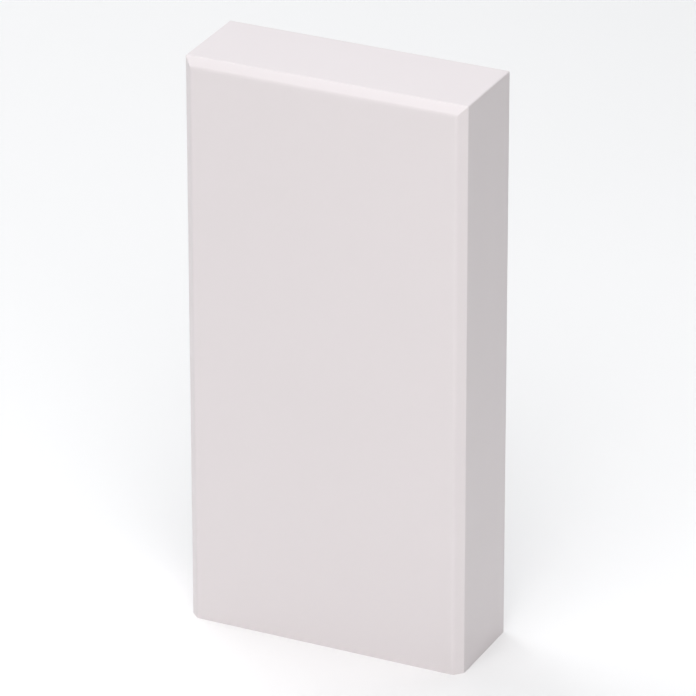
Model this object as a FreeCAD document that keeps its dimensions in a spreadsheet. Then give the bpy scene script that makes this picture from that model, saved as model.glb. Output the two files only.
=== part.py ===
import FreeCAD, Part
import os
import Sketcher

# Plinth block: one piece of board that stands at the foot of a door casing, where the skirting runs into it.
# A bevel runs round the front face along its left, top and right edges, mitred at the two top corners, and the
# base is cut square. Millimetres, +Z up, +X along the width, front towards -Y, origin in the middle of the base.

NODE = "plinth_block"

# The driving dimensions, each with the words that stand beside it in the sheet.
DIMENSIONS = {
    "block_width": (98.5, "left side to right side"),
    "block_depth": (34.5, "front face to back"),
    "block_height": (200.0, "base to top"),
    "bevel_leg": (2.85, "how far the bevel cuts into the front face, and as far into the sides and the top"),
    "shoulder_radius": (1.8, "rounding where the bevel leaves the front face"),
    "arris_radius": (0.5, "rounding of the sanded arrises"),
}

# Two places nearer than this are the same place.
SAME_PLACE = 1e-6


def fill_sheet(doc):
    """One row for each driving dimension: its name, its size under that name, and its meaning."""
    sheet = doc.addObject("Spreadsheet::Sheet", "sizes")
    for row, (name, (size, meaning)) in enumerate(DIMENSIONS.items(), start=1):
        sheet.set(f"A{row}", name)
        sheet.set(f"B{row}", str(size))
        sheet.setAlias(f"B{row}", name)
        sheet.set(f"C{row}", meaning)
    doc.recompute()
    return sheet


def start_of(line):
    """The first point of a line, as a constraint names it."""
    return line, 1


def end_of(line):
    """The second point of a line, as a constraint names it."""
    return line, 2


def sketch_origin():
    """The origin of a sketch, as a constraint names it: the first point of the sketch's own level axis."""
    return start_of(-1)


def hold(sketch, rule, *places):
    """Adds one constraint to a sketch and gives its number."""
    return sketch.addConstraint(Sketcher.Constraint(rule, *places))


def set_length(sketch, sheet, direction, line, size):
    """Holds a line, along one of the sketch's axes, to a size from the sheet."""
    number = hold(sketch, direction, *start_of(line), *end_of(line), sheet.get(size))
    sketch.renameConstraint(number, size)
    sketch.setExpression(f"Constraints.{size}", f"sizes.{size}")


def plan_outline(body, sheet):
    """The block seen from above: a rectangle with its middle at the origin."""
    sketch = body.newObject("Sketcher::SketchObject", "plan_outline")
    ground = next(feature for feature in body.Origin.OriginFeatures if feature.Role == "XY_Plane")
    sketch.AttachmentSupport = (ground, [""])
    sketch.MapMode = "FlatFace"

    side = sheet.block_width / 2
    back = sheet.block_depth / 2
    corners = [
        FreeCAD.Vector(-side, -back, 0),
        FreeCAD.Vector(side, -back, 0),
        FreeCAD.Vector(side, back, 0),
        FreeCAD.Vector(-side, back, 0),
    ]
    next_corners = corners[1:] + corners[:1]
    lines = sketch.addGeometry([Part.LineSegment(*ends) for ends in zip(corners, next_corners)])
    for line, next_line in zip(lines, lines[1:] + lines[:1]):
        hold(sketch, "Coincident", *end_of(line), *start_of(next_line))

    front, right, rear, left = lines
    hold(sketch, "Horizontal", front)
    hold(sketch, "Horizontal", rear)
    hold(sketch, "Vertical", right)
    hold(sketch, "Vertical", left)
    hold(sketch, "Symmetric", *start_of(front), *start_of(rear), *sketch_origin())
    set_length(sketch, sheet, "DistanceX", front, "block_width")
    set_length(sketch, sheet, "DistanceY", right, "block_depth")
    return sketch


def edges_where(shape, belongs):
    """The names of the edges whose middles belong, leaving out those of the square-cut base."""
    middles = [edge.CenterOfMass for edge in shape.Edges]
    return [
        f"Edge{number}"
        for number, middle in enumerate(middles, start=1)
        if middle.z > SAME_PLACE and belongs(middle)
    ]


def dress_edges(body, kind, name, base, belongs, measure, size):
    """Cuts or rounds chosen edges of the shape so far, by a size from the sheet."""
    feature = body.newObject(kind, name)
    feature.Base = (base, edges_where(base.Shape, belongs))
    feature.setExpression(measure, f"sizes.{size}")
    body.Document.recompute()
    if feature.Shape.Volume > base.Shape.Volume - SAME_PLACE:
        raise RuntimeError(f"{name} took nothing off the block")
    return feature


def plinth_block(doc, sheet):
    """The block: its plan drawn up to full height, bevelled round the front, then eased along its edges."""
    body = doc.addObject("PartDesign::Body", NODE)
    body.Label = NODE
    blank = body.newObject("PartDesign::Pad", "blank")
    blank.Profile = plan_outline(body, sheet)
    blank.setExpression("Length", "sizes.block_height")
    doc.recompute()

    def on_front(place):
        return place.y + sheet.block_depth / 2 < SAME_PLACE

    def on_side_back_or_top(place):
        from_side = sheet.block_width / 2 - abs(place.x)
        from_back = sheet.block_depth / 2 - place.y
        from_top = sheet.block_height - place.z
        return min(from_side, from_back, from_top) < SAME_PLACE

    chamfer = "PartDesign::Chamfer"
    fillet = "PartDesign::Fillet"
    bevel = dress_edges(body, chamfer, "bevel", blank, on_front, "Size", "bevel_leg")
    shoulders = dress_edges(body, fillet, "shoulders", bevel, on_front, "Radius", "shoulder_radius")
    dress_edges(body, fillet, "arrises", shoulders, on_side_back_or_top, "Radius", "arris_radius")
    return body


def check(doc, body):
    """Stops on any failed object, and on a block that isn't one sound solid."""
    for item in doc.Objects:
        if "Invalid" in item.State or "Error" in item.State:
            raise RuntimeError(f"{item.Label} failed: {item.State}")
    shape = body.Shape
    if shape.isNull() or not shape.isValid() or len(shape.Solids) != 1:
        raise RuntimeError(f"{body.Label} is not one sound solid")


document = FreeCAD.newDocument("plinth_block_model")
sizes = fill_sheet(document)
block = plinth_block(document, sizes)
check(document, block)
os.makedirs("parts", exist_ok=True)
block.Shape.exportStep(os.path.join("parts", f"{block.Label}.step"))
print(block.Label, "written, volume in cubic millimetres:", round(block.Shape.Volume))
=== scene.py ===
import math

import bpy
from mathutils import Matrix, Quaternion, Vector


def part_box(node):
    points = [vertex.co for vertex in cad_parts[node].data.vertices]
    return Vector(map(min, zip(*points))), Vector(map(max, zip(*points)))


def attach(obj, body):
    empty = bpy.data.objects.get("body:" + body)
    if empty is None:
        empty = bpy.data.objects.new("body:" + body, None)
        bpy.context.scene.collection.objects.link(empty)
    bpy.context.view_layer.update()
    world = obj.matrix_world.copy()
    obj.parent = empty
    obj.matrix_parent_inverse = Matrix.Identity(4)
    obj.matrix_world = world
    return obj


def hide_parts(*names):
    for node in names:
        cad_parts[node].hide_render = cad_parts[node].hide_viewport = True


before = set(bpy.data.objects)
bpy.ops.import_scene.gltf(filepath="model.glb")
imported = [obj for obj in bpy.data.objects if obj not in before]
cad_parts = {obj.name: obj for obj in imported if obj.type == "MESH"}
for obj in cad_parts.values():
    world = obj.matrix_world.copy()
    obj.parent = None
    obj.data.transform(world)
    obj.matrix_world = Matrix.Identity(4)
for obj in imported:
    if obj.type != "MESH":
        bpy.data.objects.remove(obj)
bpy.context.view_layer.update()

# Plinth block in satin white primer, standing on a pale floor in soft studio light.
# Metres, +Z up, front towards -Y, origin in the middle of the base.

NODE = "plinth_block"
MM = 0.001
LOWEST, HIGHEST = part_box(NODE)
MIDDLE = (LOWEST + HIGHEST) / 2

# The worked edges: the bevel round the front face, and the roundings that sanding and paint leave.
BEVEL_LEG = 2.85 * MM
SHOULDER_RADIUS = 1.8 * MM
ARRIS_RADIUS = 0.5 * MM
MITRE_RADIUS = 0.3 * MM
# How far the surface turns at them, in degrees.
SQUARE_TURN = 90.0
BEVEL_TURN = 45.0
MITRE_TURN = 60.0
# How many flat steps make one rounding.
ROUNDING_STEPS = 6
# An edge that turns further than this stays crisp.
CRISP_TURN = 40.0
# Two places nearer than this are the same place.
SAME_PLACE = 0.001 * MM

# Where the camera stands: degrees to the right of the front, degrees above the floor, and metres away.
CAMERA_AZIMUTH = 25.416
CAMERA_ELEVATION = 25.436
CAMERA_DISTANCE = 1.963
# The point it looks at, from the middle of the base, and its roll about the line of sight, in degrees.
CAMERA_AIM = Vector((0.76, 0.0, 100.88)) * MM
CAMERA_ROLL = -0.074
LINE_OF_SIGHT = (0.0, 0.0, 1.0)
# Its lens and the width of its sensor, both in millimetres.
CAMERA_LENS = 314.63
CAMERA_SENSOR = 36.0

# The floor: how far its rim lies from the block, in metres, and how many sides make it round.
FLOOR_RADIUS = 1.5
FLOOR_SIDES = 128
FLOOR_COLOUR = (0.97, 0.97, 0.97, 1.0)
FLOOR_ROUGHNESS = 0.9

# The light that comes from all round, and the pale backdrop that is seen past the edge of the floor.
AIR_COLOUR = (1.0, 1.0, 1.0, 1.0)
AIR_STRENGTH = 0.03
BACKDROP_COLOUR = (0.86, 0.86, 0.87, 1.0)
# How far away the softboxes stand, in metres, and how wide one is, as a share of its distance.
FAR = 2.2
NEAR = 0.7
SOFTBOX_SPREAD = 0.8

# The paint: its two near whites, how far apart their clouds lie, and how its gloss varies.
PRIMER_LIGHT = (0.805, 0.755, 0.766, 1.0)
PRIMER_SHADE = (0.790, 0.742, 0.751, 1.0)
CLOUD_SIZE = 60.0 * MM
GLOSS_SIZE = 9.0 * MM
ROUGHNESS_LOW = 0.40
ROUGHNESS_HIGH = 0.50
# The sprayed skin of the faces and the raised fibres of the cut edges: how wide they are, and how deep.
PEEL_SIZE = 1.3 * MM
PEEL_DEPTH = 0.016 * MM
FIBRE_LENGTH = 5.0 * MM
FIBRE_WIDTH = 0.35 * MM
FIBRE_DEPTH = 0.008 * MM
# How deep the dense skin of the board goes, where no fibre stands up.
DENSE_DEPTH = 9.0 * MM


def bearing(azimuth, elevation):
    """The direction that lies so many degrees to the right of the front and above the floor."""
    turn = math.radians(azimuth)
    rise = math.radians(elevation)
    level = math.cos(rise)
    return Vector((math.sin(turn) * level, -math.cos(turn) * level, math.sin(rise)))


def facing(direction):
    """The turn of a camera or a lamp that looks back along a direction."""
    return (-direction).to_track_quat("-Z", "Y")


def on_front(place):
    return place.y - LOWEST.y < SAME_PLACE


def on_back(place):
    return HIGHEST.y - place.y < SAME_PLACE


def on_base(place):
    return place.z - LOWEST.z < SAME_PLACE


def on_bevel_rim(place):
    """On the line where the bevel meets the sides and the top."""
    return abs(place.y - LOWEST.y - BEVEL_LEG) < SAME_PLACE


def is_shoulder(start, end):
    """An edge of the front face, where the bevel leaves it."""
    return on_front(start) and on_front(end)


def is_mitre(start, end):
    """An edge across the bevel, where two runs of it meet at a top corner."""
    return (on_front(start) and on_bevel_rim(end)) or (on_bevel_rim(start) and on_front(end))


def is_rim(start, end):
    """An edge along the bevel's outer line."""
    return on_bevel_rim(start) and on_bevel_rim(end)


def is_square(start, end):
    """An edge of the back, or one that runs from it along the depth of the block."""
    return on_back(start) or on_back(end)


def select_edges(piece, belongs):
    """Selects the edges that belong, by their two ends, apart from those of the square-cut base."""
    bpy.ops.object.mode_set(mode="EDIT")
    bpy.ops.mesh.select_mode(type="EDGE")
    bpy.ops.mesh.select_all(action="DESELECT")
    bpy.ops.object.mode_set(mode="OBJECT")
    places = [vertex.co for vertex in piece.data.vertices]
    for edge in piece.data.edges:
        start, end = (places[number] for number in edge.vertices)
        edge.select = belongs(start, end) and not (on_base(start) and on_base(end))
    bpy.ops.object.mode_set(mode="EDIT")


def rounding_reach(radius, turn):
    """How far back from its edge a rounding starts, where the surface turns by so many degrees."""
    return radius * math.tan(math.radians(turn) / 2)


def painted_block():
    """The block: a blank bevelled round the front, with all edges above its base rounded."""
    bpy.ops.object.select_all(action="DESELECT")
    bpy.ops.mesh.primitive_cube_add(size=1, location=MIDDLE, scale=HIGHEST - LOWEST)
    piece = bpy.context.object
    piece.name = piece.data.name = "painted_block"
    bpy.ops.object.transform_apply(location=True, rotation=True, scale=True)

    select_edges(piece, is_shoulder)
    bpy.ops.mesh.bevel(offset_type="OFFSET", offset=BEVEL_LEG, segments=1, affect="EDGES")

    # Each kind of edge gets its own rounding, as a share of the widest.
    roundings = {
        is_shoulder: rounding_reach(SHOULDER_RADIUS, BEVEL_TURN),
        is_rim: rounding_reach(ARRIS_RADIUS, BEVEL_TURN),
        is_square: rounding_reach(ARRIS_RADIUS, SQUARE_TURN),
        is_mitre: rounding_reach(MITRE_RADIUS, MITRE_TURN),
    }
    widest = max(roundings.values())
    for belongs, reach in roundings.items():
        select_edges(piece, belongs)
        bpy.ops.transform.edge_bevelweight(value=reach / widest)
    bpy.ops.object.mode_set(mode="OBJECT")

    rounding = piece.modifiers.new("rounding", "BEVEL")
    rounding.limit_method = "WEIGHT"
    rounding.width = widest
    rounding.segments = ROUNDING_STEPS
    rounding.use_clamp_overlap = False
    bpy.ops.object.modifier_apply(modifier=rounding.name)
    bpy.ops.object.shade_smooth_by_angle(angle=math.radians(CRISP_TURN))
    flats = piece.modifiers.new("flats", "WEIGHTED_NORMAL")
    flats.keep_sharp = True
    bpy.ops.object.modifier_apply(modifier=flats.name)
    return piece


def add_node(owner, kind, label, **settings):
    """Adds one node to a material or to the studio's air, named for what it does there."""
    node = owner.node_tree.nodes.new(kind)
    node.name = node.label = label
    for setting, value in settings.items():
        setattr(node, setting, value)
    return node


def join(owner, source, target):
    """Links an output to an input."""
    owner.node_tree.links.new(source, target)


def calculate(material, label, operation, *terms):
    """A sum on the outputs of other nodes."""
    node = add_node(material, "ShaderNodeMath", label, operation=operation)
    for socket, term in zip(node.inputs, terms):
        join(material, term, socket)
    return node.outputs["Value"]


def speckle(material, label, place, size):
    """Noise whose spots are about as wide as a size."""
    noise = add_node(material, "ShaderNodeTexNoise", label)
    noise.inputs["Scale"].default_value = 1 / size
    join(material, place, noise.inputs["Vector"])
    return noise.outputs["Fac"]


def relief(material, label, height, depth):
    """Bumps so many metres deep, that follow a height from none to all."""
    bumps = add_node(material, "ShaderNodeBump", label)
    bumps.inputs["Distance"].default_value = depth
    join(material, height, bumps.inputs["Height"])
    return bumps


def satin_primer():
    """White primer, sprayed: a fine skin all over, and fibres that just show through on the cut edges."""
    material = bpy.data.materials.new("satin_primer")
    material.use_nodes = True
    shader = material.node_tree.nodes["Principled BSDF"]
    place = add_node(material, "ShaderNodeTexCoord", "place on the block").outputs["Object"]

    clouds = speckle(material, "thick and thin paint", place, CLOUD_SIZE)
    tone = add_node(material, "ShaderNodeValToRGB", "two near whites")
    thin, thick = tone.color_ramp.elements
    thin.color = PRIMER_SHADE
    thick.color = PRIMER_LIGHT
    join(material, clouds, tone.inputs["Fac"])
    join(material, tone.outputs["Color"], shader.inputs["Base Color"])

    gloss = speckle(material, "patches of gloss", place, GLOSS_SIZE)
    roughness = add_node(material, "ShaderNodeMapRange", "gloss to roughness")
    roughness.inputs["To Min"].default_value = ROUGHNESS_LOW
    roughness.inputs["To Max"].default_value = ROUGHNESS_HIGH
    join(material, gloss, roughness.inputs["Value"])
    join(material, roughness.outputs["Result"], shader.inputs["Roughness"])

    along = add_node(material, "ShaderNodeMapping", "fibres lie in the board")
    stretch = FIBRE_WIDTH / FIBRE_LENGTH
    along.inputs["Scale"].default_value = (stretch, 1, stretch)
    join(material, place, along.inputs["Vector"])
    fibres = speckle(material, "fibres", along.outputs["Vector"], FIBRE_WIDTH)

    axes = add_node(material, "ShaderNodeSeparateXYZ", "through the board")
    join(material, place, axes.inputs["Vector"])
    off_middle = calculate(material, "from its middle", "ABSOLUTE", axes.outputs["Y"])
    core = add_node(material, "ShaderNodeMapRange", "none at its faces", interpolation_type="SMOOTHSTEP")
    core.inputs["From Min"].default_value = HIGHEST.y - MIDDLE.y
    core.inputs["From Max"].default_value = HIGHEST.y - MIDDLE.y - DENSE_DEPTH
    join(material, off_middle, core.inputs["Value"])
    nap = calculate(material, "fibres of the core", "MULTIPLY", fibres, core.outputs["Result"])

    peel = speckle(material, "sprayed skin", place, PEEL_SIZE)
    skin = relief(material, "relief of the skin", peel, PEEL_DEPTH)
    raised = relief(material, "relief of the fibres", nap, FIBRE_DEPTH)
    join(material, skin.outputs["Normal"], raised.inputs["Normal"])
    join(material, raised.outputs["Normal"], shader.inputs["Normal"])
    return material


def pale_floor():
    """A wide plain round floor under the block."""
    centre = (MIDDLE.x, MIDDLE.y, LOWEST.z)
    bpy.ops.mesh.primitive_circle_add(
        vertices=FLOOR_SIDES,
        radius=FLOOR_RADIUS,
        fill_type="NGON",
        location=centre,
    )
    floor = bpy.context.object
    floor.name = floor.data.name = "pale_floor"
    bpy.ops.object.transform_apply(location=True, rotation=True, scale=True)
    material = bpy.data.materials.new("pale_floor")
    material.use_nodes = True
    shader = material.node_tree.nodes["Principled BSDF"]
    shader.inputs["Base Color"].default_value = FLOOR_COLOUR
    shader.inputs["Roughness"].default_value = FLOOR_ROUGHNESS
    floor.data.materials.append(material)


def softbox(name, azimuth, elevation, distance, power, colour, mirrored=True):
    """A wide soft lamp of so many watts, turned to the middle of the block from so many metres away.

    One that isn't mirrored lights the paint, but makes no shine on it.
    """
    direction = bearing(azimuth, elevation)
    bpy.ops.object.light_add(type="AREA", location=MIDDLE + direction * distance)
    lamp = bpy.context.object
    lamp.name = lamp.data.name = name
    lamp.rotation_mode = "QUATERNION"
    lamp.rotation_quaternion = facing(direction)
    lamp.data.shape = "SQUARE"
    lamp.data.size = SOFTBOX_SPREAD * distance
    lamp.data.energy = power
    lamp.data.color = colour
    lamp.visible_camera = False
    lamp.visible_glossy = mirrored


def studio_air():
    """The faint even light that comes from all round, and the pale backdrop that is seen in its place."""
    world = bpy.data.worlds.new("studio_air")
    bpy.context.scene.world = world
    world.use_nodes = True
    nodes = world.node_tree.nodes
    air = nodes["Background"]
    air.inputs["Color"].default_value = AIR_COLOUR
    air.inputs["Strength"].default_value = AIR_STRENGTH
    backdrop = add_node(world, "ShaderNodeBackground", "pale backdrop")
    backdrop.inputs["Color"].default_value = BACKDROP_COLOUR

    ray = add_node(world, "ShaderNodeLightPath", "seen or lighting")
    choice = add_node(world, "ShaderNodeMixShader", "backdrop where it is seen")
    is_seen, lighting, seen = choice.inputs
    join(world, ray.outputs["Is Camera Ray"], is_seen)
    join(world, air.outputs["Background"], lighting)
    join(world, backdrop.outputs["Background"], seen)
    join(world, choice.outputs["Shader"], nodes["World Output"].inputs["Surface"])


def camera():
    """The camera, where the photograph was taken from."""
    direction = bearing(CAMERA_AZIMUTH, CAMERA_ELEVATION)
    bpy.ops.object.camera_add(location=CAMERA_AIM + direction * CAMERA_DISTANCE)
    viewer = bpy.context.object
    roll = Quaternion(LINE_OF_SIGHT, math.radians(CAMERA_ROLL))
    viewer.rotation_mode = "QUATERNION"
    viewer.rotation_quaternion = facing(direction) @ roll
    viewer.data.lens = CAMERA_LENS
    viewer.data.sensor_width = CAMERA_SENSOR
    bpy.context.scene.camera = viewer


block = painted_block()
block.data.materials.append(satin_primer())
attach(block, "root")
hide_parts(NODE)

pale_floor()
studio_air()
# Each lamp: degrees to the right of the front and above the floor, metres away, watts, and tint.
# The two low ones make no shine, because seen from across the block it would whiten the top too much.
softbox(
    "left",
    azimuth=-110.0,
    elevation=15.0,
    distance=FAR,
    power=25.9,
    colour=(0.996, 0.995, 1.0),
    mirrored=False,
)
softbox(
    "low",
    azimuth=30.0,
    elevation=15.0,
    distance=FAR,
    power=13.9,
    colour=(1.0, 0.967, 0.950),
    mirrored=False,
)
softbox("high", azimuth=15.0, elevation=60.0, distance=FAR, power=25.8, colour=(0.998, 0.995, 1.0))
softbox("back", azimuth=195.0, elevation=75.0, distance=FAR, power=24.9, colour=(0.958, 0.977, 1.0))
softbox("near", azimuth=20.0, elevation=60.0, distance=NEAR, power=0.7, colour=(0.988, 0.994, 1.0))
camera()
# Plain colours, as they are lit.
bpy.context.scene.view_settings.view_transform = "Standard"
